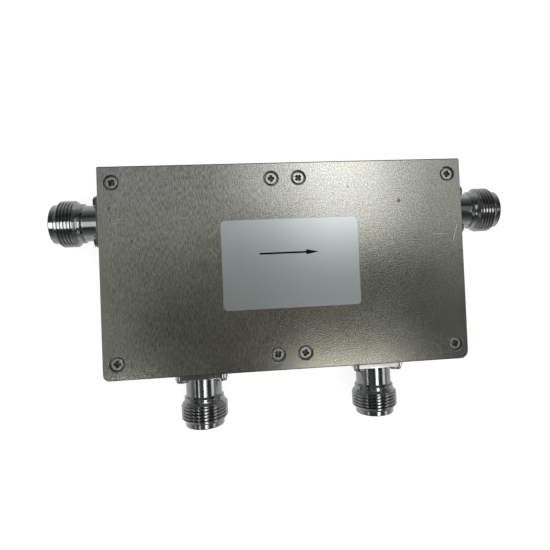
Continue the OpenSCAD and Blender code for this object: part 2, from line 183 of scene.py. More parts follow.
class SocketSizes(bpy.types.PropertyGroup):
    """Sizes of a socket's shell"""

    flange_width: length("Width", "square flange", 17.5)
    side_flange: length("Thickness", "flanges on the side walls", 1.8)
    lower_flange: length("Thickness", "flanges on the lower wall", 2.4)
    flange_corner: length("Radius", "flange's corners", 2.0)
    flange_edge: length("Rounding", "flange's edges", 0.1)
    hole: length("Diameter", "flange's holes", 2.8)
    hole_gap: length("Spacing", "flange's holes", 12.7)
    barrel: length("Diameter", "barrel", 12.3)
    side_barrel: length("Length", "barrels on the side walls", 5.5)
    lower_barrel: length("Length", "barrels on the lower wall", 6.7)
    slope: length("Length", "slope up to the collar", 0.6)
    collar: length("Diameter", "collar", 13.6)
    collar_length: length("Length", "collar", 1.2)
    run_in: length("Length", "thread's run-in slope", 1.4)
    thread: length("Diameter", "thread", 15.875)
    thread_length: length("Length", "full thread", 4.5)
    pitch: length("Pitch", "thread", 1.0583)
    thread_depth: length("Depth", "thread's groove", 0.62)
    run_out: length("Length", "thread's run-out slope", 1.2)
    nose: length("Diameter", "nose", 13.4)
    nose_length: length("Length", "nose", 1.6)
    nose_edge: length("Rounding", "nose's front edge", 0.35)
    bore: length("Diameter", "bore", 8.4)
    depth: length("Depth", "bore", 9.1)
    mouth: length("Diameter", "flared mouth", 9.6)
    mouth_length: length("Depth", "flared mouth", 0.6)
    back_bore: length("Diameter", "bore behind the socket", 7.0)
    fillet: length("Rounding", "turned corners", 0.18)


class ContactSizes(bpy.types.PropertyGroup):
    """Sizes of a socket's contact"""

    tip: length("Diameter", "tip", 3.04)
    bore: length("Diameter", "hole in the tip", 1.7)
    bore_length: length("Depth", "hole in the tip", 5.0)
    slot: length("Width", "slots in the tip", 0.35)
    slot_length: length("Length", "slots in the tip", 3.6)
    shoulder: length("Diameter", "shoulder", 4.4)
    shoulder_length: length("Length", "shoulder", 0.8)
    insulator_back: length("Length", "insulator behind the wall", 4.0)
    tail: length("Diameter", "tail", 2.0)
    tail_slot: length("Length", "slot in the tail", 2.5)
    tail_slot_width: length("Width", "slot in the tail", 0.3)
    edge: length("Rounding", "tip's edge", 0.2)


class LabelSizes(bpy.types.PropertyGroup):
    """Sizes of the label and of the arrow on it"""

    corner: length("Radius", "label's corners", 1.4)
    edge: length("Rounding", "label's edge", 0.05)
    arrow_height: length("Height", "arrow above the middle", 4.2)
    arrow_tail: length("Reach", "arrow's tail to the left of the middle", 9.25)
    arrow_tip: length("Reach", "arrow's tip to the right of the middle", 10.36)
    head_length: length("Length", "arrowhead", 4.3)
    head_width: length("Width", "arrowhead", 1.7)
    shaft_width: length("Width", "arrow's shaft", 0.6)


class Finishes(bpy.types.PropertyGroup):
    """Colours of the pieces"""

    plate_dark: colour("Plating, dark", "Darker grains of the frosted plating", 0.33, 0.33, 0.295)
    plate_light: colour("Plating, light", "Lighter grains of the frosted plating", 0.63, 0.63, 0.59)
    mark: colour("Marks", "Light scratches on the plating", 1.0, 1.0, 0.98)
    spot: colour("Spots", "Dark spots on the plating", 0.12, 0.12, 0.11)
    stain: colour("Stains", "Brownish stains on the plating", 0.36, 0.33, 0.22)
    # Painted shade: near-black colour for the shade on the cover's rounded long edges
    edge: colour("Long edges", "Dull metal along the cover's long edges", 0.045, 0.045, 0.042)
    bore: colour("Counterbores", "Dull metal inside the counterbores", 0.62, 0.62, 0.57)
    turned: colour("Turned nickel", "Nickel of the sockets' turned parts", 0.22, 0.23, 0.23)
    milled: colour("Milled nickel", "Bright nickel of the sockets' flanges", 0.50, 0.51, 0.50)
    screw: colour("Cover screws", "Bright steel of the cover screws", 0.66, 0.66, 0.64)
    dark_screw: colour("Flange screws", "Dark steel of the flange screws", 0.17, 0.17, 0.17)
    # Painted shade: near-black colour for the shade inside the screws' cross recesses
    recess: colour("Screw recesses", "Dark steel inside the screws' recesses", 0.08, 0.08, 0.075)
    gold: colour("Gold", "Gold plating of the contacts", 0.90, 0.66, 0.28)
    insulator: colour("Insulator", "White of the insulators", 0.86, 0.86, 0.84)
    label: colour("Label", "Silver film of the label", 0.72, 0.79, 0.785)
    ink: colour("Ink", "Print on the label", 0.01, 0.01, 0.012)
    strip: colour("Conductors", "Silver plating of the conductors", 0.86, 0.85, 0.82)
    tarnish: colour("Tarnish", "Tarnish on the conductors", 0.62, 0.5, 0.36)
    magnet: colour("Magnets", "Ceramic of the magnets", 0.035, 0.035, 0.038)
    pole: colour("Pole plates", "Steel of the pole plates", 0.52, 0.52, 0.51)
    ferrite: colour("Ferrites", "Ceramic of the ferrite discs", 0.03, 0.03, 0.034)
    film: colour("Films", "Amber of the insulating films", 0.62, 0.34, 0.06)
    capacitor: colour("Capacitors", "Ceramic of the capacitors", 0.66, 0.56, 0.42)


class StageSizes(bpy.types.PropertyGroup):
    """Floor, world, lamps and camera"""

    floor: length("Width", "floor", 12000.0)
    floor_glow: share("Floor glow", "White that the floor shows by itself", 0.8)
    floor_grey: share("Floor grey", "Share of light that the floor scatters", 0.45)
    horizon: share("Horizon", "Brightness of the world at the horizon", 0.86)
    haze: share("Haze", "Brightness of the world a little above the horizon", 0.44)
    zenith: share("Zenith", "Brightness of the world overhead", 0.08)
    haze_height: angle("Haze height", "Height above the horizon of the haze", 15)
    zenith_height: angle("Zenith height", "Height above the horizon of the darkest sky", 45)
    grid: angle("Lamp grid", "Spread of the light from a lamp with a grid", 120)
    camera_place: setting(
        "Camera place",
        "Place of the camera",
        (-0.012955, 0.004222, 0.17415),
        FloatVectorProperty,
        unit="LENGTH",
    )
    camera_turn: setting(
        "Camera turn",
        "Turn of the camera from looking straight down",
        [math.radians(turn) for turn in (1.5194, -5.2706, -2.4358)],
        FloatVectorProperty,
        subtype="EULER",
    )
    lens: setting("Lens", "Focal length for a 36 mm wide sensor", 29.768, unit="CAMERA")
    shift_x: setting("Shift X", "Shift of the picture to the side", -0.02754)
    shift_y: setting("Shift Y", "Shift of the picture upward", -0.0597)


SETTINGS = {
    "cover": CoverSizes,
    "cover_screw": CoverScrewSizes,
    "flange_screw": FlangeScrewSizes,
    "socket": SocketSizes,
    "contact": ContactSizes,
    "label": LabelSizes,
    "finishes": Finishes,
    "stage": StageSizes,
}


def sizes(name):
    """The current values of one group of settings."""
    return getattr(bpy.context.scene, "isolator_" + name)


class Wire:
    """An output of a node. Arithmetic on wires adds Math nodes."""

    def __init__(self, nodes, socket):
        self.nodes = nodes
        self.socket = socket

    def math(self, operation, *others):
        return self.nodes.node("ShaderNodeMath", dict(enumerate((self, *others))), operation=operation)

    __add__ = __radd__ = partialmethod(math, "ADD")
    __mul__ = partialmethod(math, "MULTIPLY")
    __or__ = partialmethod(math, "MAXIMUM")
    __sub__ = partialmethod(math, "SUBTRACT")
    __gt__ = partialmethod(math, "GREATER_THAN")
    __lt__ = partialmethod(math, "LESS_THAN")
    __abs__ = partialmethod(math, "ABSOLUTE")

    def __rsub__(self, other):
        return self.nodes.node("ShaderNodeMath", {0: other, 1: self}, operation="SUBTRACT")


def most(masks):
    """The greatest of several masks."""
    return reduce(Wire.__or__, masks)


class Nodes:
    """Builds the nodes of a material or of the world."""

    def __init__(self, tree, place):
        self.tree = tree
        self.tree.nodes.clear()
        self.place = self.node("ShaderNodeTexCoord", out=place)

    def node(self, kind, values=None, out=0, **settings):
        """Adds a node with its settings, then its sockets' values or links, and returns one output."""
        node = self.tree.nodes.new(kind)
        for key, value in settings.items():
            setattr(node, key, value)
        for key, value in (values or {}).items():
            if isinstance(value, Wire):
                self.tree.links.new(value.socket, node.inputs[key])
            else:
                node.inputs[key].default_value = value
        return None if out is None else Wire(self, node.outputs[out])

    def outputs(self, wire, *names):
        """Other outputs of the node that a wire comes from."""
        return [Wire(self, wire.socket.node.outputs[name]) for name in names]

    def vector(self, operation, first, second):
        """A Vector Math node, which also serves colours."""
        return self.node("ShaderNodeVectorMath", {0: first, 1: second}, operation=operation)

    def noise(self, size, stretch=(1, 1, 1), detail=2.0, seed=0.0):
        """Noise with grains of that size, longer where the stretch is more."""
        place = self.vector("MULTIPLY", self.place, [1 / (size * s) for s in stretch])
        moved = self.vector("ADD", place, [seed] * 3)
        return self.node("ShaderNodeTexNoise", {"Vector": moved, "Scale": 1.0, "Detail": detail})

    def spread(self, value, low, high):
        """Stretches a value so that low becomes 0 and high becomes 1, and clamps it."""
        return self.node("ShaderNodeMapRange", {"Value": value, "From Min": low, "From Max": high})

    def mix(self, factor, first, second):
        """A colour between two colours."""
        first, second = [tint if isinstance(tint, Wire) else (*tint, 1) for tint in (first, second)]
        return self.node("ShaderNodeMix", {0: factor, 6: first, 7: second}, 2, data_type="RGBA")

    def axes(self):
        """The three parts of the place, as three wires."""
        return self.outputs(self.node("ShaderNodeSeparateXYZ", {0: self.place}), 0, 1, 2)


class Finish(Nodes):
    """A material, built from its nodes."""

    def __init__(self, name):
        self.material = bpy.data.materials.new(name)
        self.material.use_nodes = True
        self.tints = sizes("finishes")
        super().__init__(self.material.node_tree, "Object")

    def shaded(self, mask, kind, part):
        """One of the settings' colours, times that part where the mask is."""
        tint = getattr(self.tints, kind)
        return self.mix(mask, tint, [c * part for c in tint])

    def line(self, start, end, width):
        """Mask of a straight line on the face, from start to end, in millimetres."""
        x, y, _ = self.axes()
        start = Vector(start) * MM
        run = Vector(end) * MM - start
        along = run.normalized()
        x = x - start.x
        y = y - start.y
        ahead = x * along.x + y * along.y
        aside = y * along.x - x * along.y
        return (ahead > 0) * (ahead < run.length) * (abs(aside) < width * MM / 2)

    def spot(self, middle, radius):
        """Mask of a soft round spot on the face, in millimetres."""
        x, y, _ = self.axes()
        x = x - middle[0] * MM
        y = y - middle[1] * MM
        return self.spread(x * x + y * y, (radius * MM) ** 2, 0)

    def surface(self, bump=None, **values):
        """Ends the material in its shader. Bump is a mask and its height in millimetres."""
        # Underscores in the sockets' names stand for spaces
        values = {key.replace("_", " "): value for key, value in values.items()}
        if bump:
            values["Normal"] = self.node("ShaderNodeBump", {"Height": bump[0], "Distance": bump[1] * MM})
        shader = self.node("ShaderNodeBsdfPrincipled", values)
        self.node("ShaderNodeOutputMaterial", {"Surface": shader}, out=None)
        return self.material


def finish_maker(make):
    """Makes a finish at its first use and gives the same material afterwards."""

    def give(*options):
        name = "_".join(("finish", make.__name__, *map(str, options)))
        return bpy.data.materials.get(name) or make(Finish(name), *options)

    return give


@finish_maker
def frosted_nickel(finish):
    """Frosted nickel plate: fine dashes along Y, warmer below, with marks, stains, and long edges that are
    rougher and darkened by painted shade.
    """
    tints = finish.tints
    rim = sizes("cover").edge
    dashes = finish.noise(0.32 * MM, (1, 5, 2), 1.0)
    specks = finish.noise(0.34 * MM, (1, 1.2, 1), 1.0, seed=7.0)
    clouds = finish.noise(16 * MM, (1, 1.3, 1), 3.0, seed=3.0)
    x, y, z = finish.axes()
    rubbed = finish.spread(abs(x), 57.2 * MM, 59.2 * MM)
    speckled = 0.35 + finish.spread(x, -30 * MM, 10 * MM) * 0.45
    depth = (0.7 + finish.spread(y, -20 * MM, 20 * MM) * 0.6) * (1 - rubbed * 0.7)
    grain = finish.spread((dashes + (specks - dashes) * speckled - 0.5) * depth, -0.1, 0.1)
    patch = finish.spread(clouds, 0.3, 0.7)
    plate = finish.mix(grain * 0.8 + patch * 0.2, tints.plate_dark, tints.plate_light)
    warm = finish.spread(y, 25 * MM, -20 * MM) * (1 - finish.spread(abs(x), 25 * MM, 55 * MM) * 0.5)
    warm = warm * (0.3 + (z > COVER_HIGH.z - rim) * 0.7)
    plate = finish.mix(warm, plate, finish.vector("MULTIPLY", plate, (1, 1, 0.88)))
    stain = finish.spread(finish.noise(7 * MM, detail=3.0, seed=11.0), 0.58, 0.75) * 0.2
    stain = stain | finish.spot(*STAIN) * grain * 0.7
    spots = [finish.spot(*place) for place in SPOTS]
    creases = [finish.line(*place) * 0.3 for place in CREASES]
    scratch = most([finish.line(*place) for place in SCRATCHES]) * 0.85
    # Painted shade: the rounded long edges of the top face are coloured near black, and are also made
    # rougher
    edge = (abs(y) > COVER_HIGH.y - rim) * (z > COVER_HIGH.z - rim - 0.02 * MM)
    spotted = finish.mix(most(spots + creases), finish.mix(stain, plate, tints.stain), tints.spot)
    return finish.surface(
        Base_Color=finish.mix(edge, finish.mix(scratch, spotted, tints.mark), tints.edge),
        Metallic=1.0,
        Roughness=0.18 + patch * 0.02 + grain * 0.03 + edge * 0.2,
        bump=(grain, 0.0055),
    )


@finish_maker
def turned_nickel(finish, axis):
    """Bright nickel with fine rings round the axis that the piece was turned on."""
    thin = {"x": (0.04, 30, 30), "y": (30, 0.04, 30)}[axis]
    rings = finish.noise(1 * MM, thin)
    wear = finish.noise(2.5 * MM, detail=4.0, seed=2.0)
    return finish.surface(
        Base_Color=finish.shaded(finish.spread(wear, 0.35, 0.75), "turned", 0.8),
        Metallic=1.0,
        Roughness=0.1 + rings * 0.1 + finish.spread(wear, 0.5, 0.8) * 0.08,
        bump=(rings, 0.0015),
    )


@finish_maker
def milled_nickel(finish):
    """Bright nickel on the milled flanges."""
    cuts = finish.noise(0.3 * MM, (1, 1, 5))
    wear = finish.noise(2 * MM, detail=3.0, seed=5.0)
    return finish.surface(
        Base_Color=finish.shaded(finish.spread(wear, 0.4, 0.8), "milled", 0.8),
        Metallic=1.0,
        Roughness=0.1 + cuts * 0.05,
        bump=(cuts, 0.001),
    )


@finish_maker
def screw_steel(finish, kind):
    """Steel of one kind of screw, with fine scratches."""
    scratches = finish.noise(0.12 * MM, (1, 6, 1))
    grime = finish.spread(finish.noise(0.9 * MM, detail=3.0, seed=4.0), 0.5, 0.75)
    return finish.surface(
        Base_Color=finish.shaded(grime, kind, 0.55),
        Metallic=1.0,
        Roughness=0.2 + scratches * 0.12 + grime * 0.1,
        bump=(scratches, 0.002),
    )


@finish_maker
def label_film(finish):
    """Satin silver film with a printed arrow, darker and a little rougher towards its lower edge, where the
    darkening is painted shade.
    """
    marking = sizes("label")
    x, y, _ = finish.axes()
    away = abs(y - marking.arrow_height)
    neck = marking.arrow_tip - marking.head_length
    shaft_end = neck + marking.head_length / 3
    shaft = (x > -marking.arrow_tail) * (x < shaft_end) * (away < marking.shaft_width / 2)
    narrowing = marking.head_width / 2 / marking.head_length
    ink = shaft | (x > neck) * (away < (marking.arrow_tip - x) * narrowing)
    cloud = finish.noise(9 * MM, seed=1.0)
    # Painted shade: the film's colour darkens towards its lower edge, and the same mask makes it a little
    # rougher there
    lower_painted_shade = finish.spread(y, LABEL_HIGH.y, LABEL_LOW.y)
    silver = finish.shaded(cloud * 0.25 + lower_painted_shade * 0.7, "label", 0.75)
    return finish.surface(
        Base_Color=finish.mix(ink, silver, finish.tints.ink),
        Metallic=0.92,
        Roughness=0.28 + lower_painted_shade * 0.02,
        bump=(ink, 0.0005),
    )


@finish_maker
def silvered_copper(finish):
    """Silver plated strip, lightly tarnished."""
    tarnish = finish.spread(finish.noise(3 * MM, detail=4.0), 0.42, 0.7)
    drawn = finish.noise(0.1 * MM, (8, 1, 1), seed=6.0)
    return finish.surface(
        Base_Color=finish.mix(tarnish, finish.tints.strip, finish.tints.tarnish),
        Metallic=1.0,
        Roughness=0.2 + tarnish * 0.15 + drawn * 0.05,
        bump=(drawn, 0.002),
    )


@finish_maker
def stone(finish, kind, roughness, grit):
    """Pressed ceramic of one kind, ground flat, with fine pores."""
    pores = finish.spread(finish.noise(grit * MM, detail=4.0), 0.35, 0.65)
    return finish.surface(
        Base_Color=finish.shaded(1 - pores, kind, 0.75),
        Roughness=roughness + pores * 0.12,
        bump=(pores, 0.01),
    )


@finish_maker
def insulator_plastic(finish):
    """Waxy white plastic, faintly cloudy."""
    cloud = finish.noise(1.5 * MM, detail=3.0)
    return finish.surface(
        Base_Color=finish.shaded(cloud, "insulator", 0.95),
        Roughness=0.42 + cloud * 0.12,
        Subsurface_Weight=0.12,
        Subsurface_Radius=(0.0008, 0.0008, 0.0007),
        bump=(cloud, 0.004),
    )


# Finishes of one grain: its size in millimetres, stretch and detail, the part of the colour that it leaves,
# the metal's share, the least roughness and what the grain adds, and its height in millimetres
GRAINED = {
    "bore": (0.3, (1, 1, 1), 3.0, 0.5, 1.0, 0.45, 0.1, 0.004),
    # Painted shade: the recess row colours the screws' cross recesses near black for the shade inside them
    "recess": (0.3, (1, 1, 1), 3.0, 2.0, 0.8, 0.4, 0.2, 0.006),
    "gold": (0.2, (1, 1, 1), 3.0, 0.85, 1.0, 0.16, 0.14, 0.001),
    "pole": (0.08, (12, 1, 1), 2.0, 0.8, 1.0, 0.3, 0.12, 0.003),
    "film": (4, (1, 1, 1), 2.0, 0.8, 0.0, 0.12, 0.08, 0.01),
}


@finish_maker
def grained(finish, kind):
    """A plain finish, whose one grain changes its colour, roughness and bump."""
    size, stretch, detail, part, metal, rough, rougher, height = GRAINED[kind]
    grain = finish.noise(size * MM, stretch, detail)
    return finish.surface(
        Base_Color=finish.shaded(grain, kind, part),
        Metallic=metal,
        Roughness=rough + grain * rougher,
        bump=(grain, height),
    )


def outline(half_x, half_y, radii, inset, height, steps=6, least=0.02 * MM):
    """Points round a rectangle whose corners have radii of their own, from the upper right one."""
    points = []
    for corner, radius in enumerate(radii):
        side_x = 1 if corner in (0, 3) else -1
        side_y = 1 if corner in (0, 1) else -1
        bend = max(radius - inset, least)
        reach = max(radius, inset + bend)
        for i in range(steps + 1):
            at = QUARTER * (corner + i / steps)
            x = side_x * (half_x - reach) + bend * math.cos(at)
            y = side_y * (half_y - reach) + bend * math.sin(at)
            points.append((x, y, height))
    return points


def edge_levels(radius, height, side, steps=4):
    """Insets and heights up over a rounded edge. Side is 1 at an upper face and -1 at a lower one."""
    turns = [QUARTER * i / steps for i in range(steps + 1)][::side]
    return [(radius * (1 - math.cos(at)), height - side * radius * (1 - math.sin(at))) for at in turns]


def softened(points, radius, steps=3):
    """The outline through the points, with each corner turned in a curve."""
    curve = [Vector(points[0])]
    for before, corner, after in zip(points, points[1:], points[2:]):
        corner = Vector(corner)
        back = Vector(before) - corner
        on = Vector(after) - corner
        reach = min(radius, back.length / 2.2, on.length / 2.2)
        start = corner + back.normalized() * reach
        end = corner + on.normalized() * reach
        for i in range(steps + 1):
            t = i / steps
            curve.append(start * (1 - t) ** 2 + corner * 2 * t * (1 - t) + end * t**2)
    return curve + [Vector(points[-1])]


def cross(span, wing, height):
    """Points round a cross with rounded inner corners."""
    points = []
    fillet = wing * 0.25
    for quarter in range(4):
        corner = [(span / 2, -wing / 2), (span / 2, wing / 2)]
        for i in range(3):
            at = math.pi * 1.5 - QUARTER * i / 2
            middle = wing / 2 + fillet
            corner.append((middle + fillet * math.cos(at), middle + fillet * math.sin(at)))
        turn = Matrix.Rotation(QUARTER * quarter, 2)
        points += [(*(turn @ Vector(point)), height) for point in corner]
    return points


def added(name, data):
    """A new object in the scene."""
    made = bpy.data.objects.new(name, data)
    bpy.context.scene.collection.objects.link(made)
    return made


class Form:
    """Builds a piece's mesh from rings of points."""

    def __init__(self, matrix=Matrix()):
        self.mesh = bmesh.new()
        self.flat = self.mesh.faces.layers.int.new("flat")
        self.matrix = matrix
        self.paint = 0

    def ring(self, points):
        return [self.mesh.verts.new(self.matrix @ Vector(point)) for point in points]

    def skin(self, *rings):
        """Faces between each ring and the next, all the way round."""
        for low, high in zip(rings, rings[1:]):
            for i in range(len(low)):
                face = self.mesh.faces.new((low[i - 1], low[i], high[i], high[i - 1]))
                face.material_index = self.paint

    def turned(self, profile, count):
        """Skins the profile round the Z axis. Its points are radius and height."""
        spokes = [(math.cos(TURN * i / count), math.sin(TURN * i / count)) for i in range(count)]
        rings = [self.ring([(radius * x, radius * y, z) for x, y in spokes]) for radius, z in profile]
        self.skin(*rings)
        return rings

    def plate(self, half_x, half_y, radii, levels):
        """Skins a rectangle with rounded corners through levels of inset and height."""
        rings = [self.ring(outline(half_x, half_y, radii, *level)) for level in levels]
        self.skin(*rings)
        return rings

    def cap(self, outer, *holes):
        """Flat faces inside the outer ring and outside the holes, with crisp edges all round."""
        edges = []
        for ring in (outer, *holes):
            for i in range(len(ring)):
                pair = (ring[i - 1], ring[i])
                edges.append(self.mesh.edges.get(pair) or self.mesh.edges.new(pair))
        filled = bmesh.ops.triangle_fill(self.mesh, use_beauty=True, edges=edges)
        for part in filled["geom"]:
            if isinstance(part, bmesh.types.BMFace):
                part[self.flat] = 1
                part.material_index = self.paint

    def block(self, low, high):
        """A plain box, for cutting."""
        corners = [(low[0], low[1]), (high[0], low[1]), (high[0], high[1]), (low[0], high[1])]
        rings = [self.ring([(x, y, z) for x, y in corners]) for z in (low[2], high[2])]
        self.skin(*rings)
        for ring in rings:
            self.mesh.faces.new(ring)

    def made(self, name, sharp=SHARP):
        """Ends the mesh, smooth apart from edges sharper than that angle, and returns it as an object."""
        bmesh.ops.remove_doubles(self.mesh, verts=self.mesh.verts, dist=0.0001 * MM)
        bmesh.ops.recalc_face_normals(self.mesh, faces=self.mesh.faces)
        for face in self.mesh.faces:
            face.smooth = True
        for edge in self.mesh.edges:
            kinds = {face[self.flat] for face in edge.link_faces}
            edge.smooth = len(kinds) == 1 and edge.calc_face_angle(math.pi) < sharp
        data = bpy.data.meshes.new(name)
        self.mesh.to_mesh(data)
        self.mesh.free()
        return added(name, data)


def carve(piece, cutter):
    """Cuts one mesh out of another and deletes the cutter."""
    cut = piece.modifiers.new("Cut", "BOOLEAN")
    cut.operation = "DIFFERENCE"
    cut.object = cutter
    result = piece.evaluated_get(bpy.context.evaluated_depsgraph_get())
    piece.data = bpy.data.meshes.new_from_object(result)
    piece.data.set_sharp_from_angle(angle=SHARP)
    piece.modifiers.clear()
    bpy.data.objects.remove(cutter)


def dressed(piece, node, slot, *materials):
    """Gives a new piece its finishes and lets it stand for a CAD node."""
    for material in materials:
        piece.data.materials.append(material)
    piece.modifiers.new("Weighted Normal", "WEIGHTED_NORMAL").keep_sharp = True
    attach(piece, "root")
    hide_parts(node)


def refinished(node, material):
    """Gives a CAD node that is shown as it is its finish."""
    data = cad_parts[node].data
    data.materials.clear()
    data.materials.append(material)


def socket_place(name):
    """Where a socket's axis leaves its wall, with the axis along +Z turned outward."""
    heading = HEADINGS[name]
    low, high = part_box(name + "_shell")
    outward = Vector((round(math.cos(heading)), round(math.sin(heading)), 0))
    reach = abs((high - low).dot(outward)) / 2
    wall = (low + high) / 2 - outward * reach
    return Matrix.Translation(wall) @ Matrix.Rotation(heading, 4, "Z") @ Matrix.Rotation(QUARTER, 4, "Y")


def socket_axis(name):
    """The row's axis that a socket points along."""
    return "y" if name.startswith("lower") else "x"


def socket_lengths(socket, name):
    """Thickness of a socket's flange and length of its barrel."""
    if socket_axis(name) == "x":
        return socket.side_flange, socket.side_barrel
    return socket.lower_flange, socket.lower_barrel


def flange_places(gap, turn):
    """Where the screws of a flange stand, seen along the socket's axis."""
    for i in range(4):
        shift = Matrix.Translation((gap / 2, gap / 2, 0))
        yield Matrix.Rotation(QUARTER * i, 4, "Z") @ shift @ Matrix.Rotation(turn * i, 4, "Z")


def add_screw(form, screw):
    """A screw with a rounded head and a tapered cross recess, its head's underside at Z = 0."""
    shank = screw.shank / 2
    head = screw.head / 2
    bevel = shank / 4
    rings = form.turned(
        [(shank - bevel, -screw.reach), (shank, bevel - screw.reach), (shank, 0), (head, 0)]
        + [(head - inset, height) for inset, height in edge_levels(screw.rim, screw.height, 1)],
        SCREW_SIDES,
    )
    form.cap(rings[0])
    recess = [
        form.ring(cross(screw.span * scale, screw.wing * scale, screw.height - screw.depth * depth))
        for scale, depth in ((1, 0), (0.93, 0.12), (screw.taper, 1))
    ]
    form.cap(rings[-1], recess[0])
    form.paint = 1
    form.skin(*recess)
    form.cap(recess[-1])
    form.paint = 0


def thread_depth(u, depth, crest=0.14, flank=0.74, roundness=0.65):
    """Depth of the thread's groove at a share of the pitch, with crest and flank as shares of its half."""
    away = 2 * min(u, 1 - u)
    slope = min(max((away - crest) / flank, 0), 1)
    return depth * slope * (1 - roundness + roundness * slope * (3 - 2 * slope))


def add_thread(form, socket, start, end, count=SHELL_SIDES, per_pitch=14):
    """Skins the thread between two heights, cut off by its run-in and run-out slopes."""
    crest = socket.thread / 2
    full = start + socket.run_in
    fades = end - socket.run_out
    rows = per_pitch * math.ceil((end - start) / socket.pitch + 1)
    columns = []
    for j in range(count + 1):
        points = []
        for k in range(rows + 1):
            phase = k / per_pitch - 1
            z = min(max(start + socket.pitch * (phase + j / count), start), end)
            slope = min((z - start) / (full - start), (end - z) / (end - fades), 1)
            foot = socket.collar / 2 if z < full else socket.nose / 2
            envelope = foot + (crest - foot) * slope
            radius = min(envelope, crest - thread_depth(phase % 1, socket.thread_depth))
            at = TURN * j / count
            points.append((radius * math.cos(at), radius * math.sin(at), z))
        columns.append(form.ring(points))
    for left, right in zip(columns, columns[1:]):
        for k in range(rows):
            if left[k].co != left[k + 1].co or right[k].co != right[k + 1].co:
                form.mesh.faces.new((left[k], right[k], right[k + 1], left[k + 1]))


def add_shell(form, socket, flange, barrel_length):
    """Square flange, barrel, collar, thread, nose and bore of one socket."""
    barrel = socket.barrel / 2
    slope_start = flange + barrel_length
    slope_end = slope_start + socket.slope
    start = slope_end + socket.collar_length
    end = start + socket.run_in + socket.thread_length + socket.run_out
    front = end + socket.nose_length
    seat = front - socket.depth
    half = socket.flange_width / 2
    edge = socket.flange_edge
    levels = edge_levels(edge / 2, 0, -1) + edge_levels(edge, flange, 1)
    form.paint = 1
    rings = form.plate(half, half, [socket.flange_corner] * 4, levels)
    holes = []
    base = form.matrix
    for place in flange_places(socket.hole_gap, 0):
        form.matrix = base @ place
        holes.append(form.turned([(socket.hole / 2, 0), (socket.hole / 2, flange)], HOLE_SIDES))
    back_holes, front_holes = zip(*holes)
    form.matrix = base
    form.paint = 0
    behind = [(barrel + socket.fillet, flange), (barrel, flange + socket.fillet), (barrel, slope_start)]
    behind += [(socket.collar / 2, slope_end), (socket.collar / 2, start)]
    ahead = [(socket.nose / 2, end), (socket.nose / 2, front), (socket.mouth / 2, front)]
    ahead += [(socket.bore / 2, front - socket.mouth_length), (socket.bore / 2, seat)]
    ahead += [(socket.back_bore / 2, seat), (socket.back_bore / 2, 0)]
    foot = form.turned(softened(behind, socket.fillet), SHELL_SIDES)[0]
    add_thread(form, socket, start, end)
    bore = form.turned(softened(ahead, socket.nose_edge), SHELL_SIDES)[-1]
    form.paint = 1
    form.cap(rings[-1], foot, *front_holes)
    form.cap(rings[0], bore, *back_holes)


def add_contact(form, contact, tip, back):
    """A contact's turned body, before its slots are cut."""
    tail = contact.tail / 2
    seat = -contact.insulator_back
    shoulder = seat - contact.shoulder_length
    body = [(tail - contact.edge, back), (tail, back + contact.edge), (tail, shoulder)]
    body += [(contact.shoulder / 2, shoulder), (contact.shoulder / 2, seat)]
    body += [(contact.tip / 2, seat), (contact.tip / 2, tip)]
    body += [(contact.bore / 2, tip), (contact.bore / 2, tip - contact.bore_length)]
    rings = form.turned(softened(body, contact.edge), CONTACT_SIDES)
    form.cap(rings[0])
    form.cap(rings[-1])


def add_slots(form, contact, tip, back):
    """The blocks that cut a contact's slots: two across the tip, one along the tail."""
    base = form.matrix
    past = contact.tip
    for turn in (QUARTER / 2, QUARTER * 1.5):
        form.matrix = base @ Matrix.Rotation(turn, 4, "Z")
        half = contact.slot / 2
        form.block((-past, -half, tip - contact.slot_length), (past, half, tip + past))
    form.matrix = base
    half = contact.tail_slot_width / 2
    form.block((-half, -past, back - past), (half, past, back + contact.tail_slot))


class ISOLATOR_OT_cover(bpy.types.Operator):
    """Builds the cover plate with its counterbored holes"""

    bl_idname = "isolator.cover"
    bl_label = "Cover"

    def execute(self, context):
        cover = sizes("cover")
        half = (COVER_HIGH - COVER_LOW) / 2
        top = COVER_HIGH.z
        bottom = COVER_LOW.z
        corners = [cover.upper_corner] * 2 + [cover.lower_left_corner, cover.lower_right_corner]
        levels = edge_levels(cover.seam, bottom, -1) + edge_levels(cover.edge, top, 1)
        form = Form()
        rings = form.plate(half.x, half.y, corners, levels)
        upper = []
        lower = []
        bore = cover.counterbore / 2
        seat = top - cover.counterbore_depth
        for x, y in cover_screw_places(cover):
            form.matrix = Matrix.Translation((x, y, 0))
            rim = [(bore + inset, height) for inset, height in reversed(edge_levels(cover.rim, top, 1))]
            rims = form.turned(rim, BORE_SIDES)
            form.paint = 1
            wall = [rim[-1], (bore, seat), (cover.hole / 2, seat), (cover.hole / 2, bottom)]
            walls = form.turned(wall, BORE_SIDES)
            form.paint = 0
            upper.append(rims[0])
            lower.append(walls[-1])
        for junction in JUNCTIONS:
            low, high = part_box(junction + "upper_magnet")
            middle = (low + high) / 2
            form.matrix = Matrix.Translation((middle.x, middle.y, 0))
            radius = (high - low).x / 2 + cover.seat_gap
            recess = form.turned([(radius, bottom), (radius, high.z)], SEAT_SIDES)
            lower.append(recess[0])
            form.cap(recess[1])
        form.cap(rings[-1], *upper)
        form.cap(rings[0], *lower)
        dressed(form.made("cover_plate"), "top_cover", "frosted_nickel", frosted_nickel(), grained("bore"))
        return {"FINISHED"}


class ISOLATOR_OT_housing(bpy.types.Operator):
    """Finishes the housing"""

    bl_idname = "isolator.housing"
    bl_label = "Housing"

    def execute(self, context):
        refinished("housing", frosted_nickel())
        return {"FINISHED"}


def cover_screw_places(cover):
    """Where the cover screws stand, the lower row first."""
    x = COVER_HIGH.x - cover.inset_x
    y = COVER_HIGH.y - cover.inset_y
    middle = cover.middle_gap / 2
    return [(at_x, at_y) for at_y in (-y, y) for at_x in (-x, -middle, middle, x)]


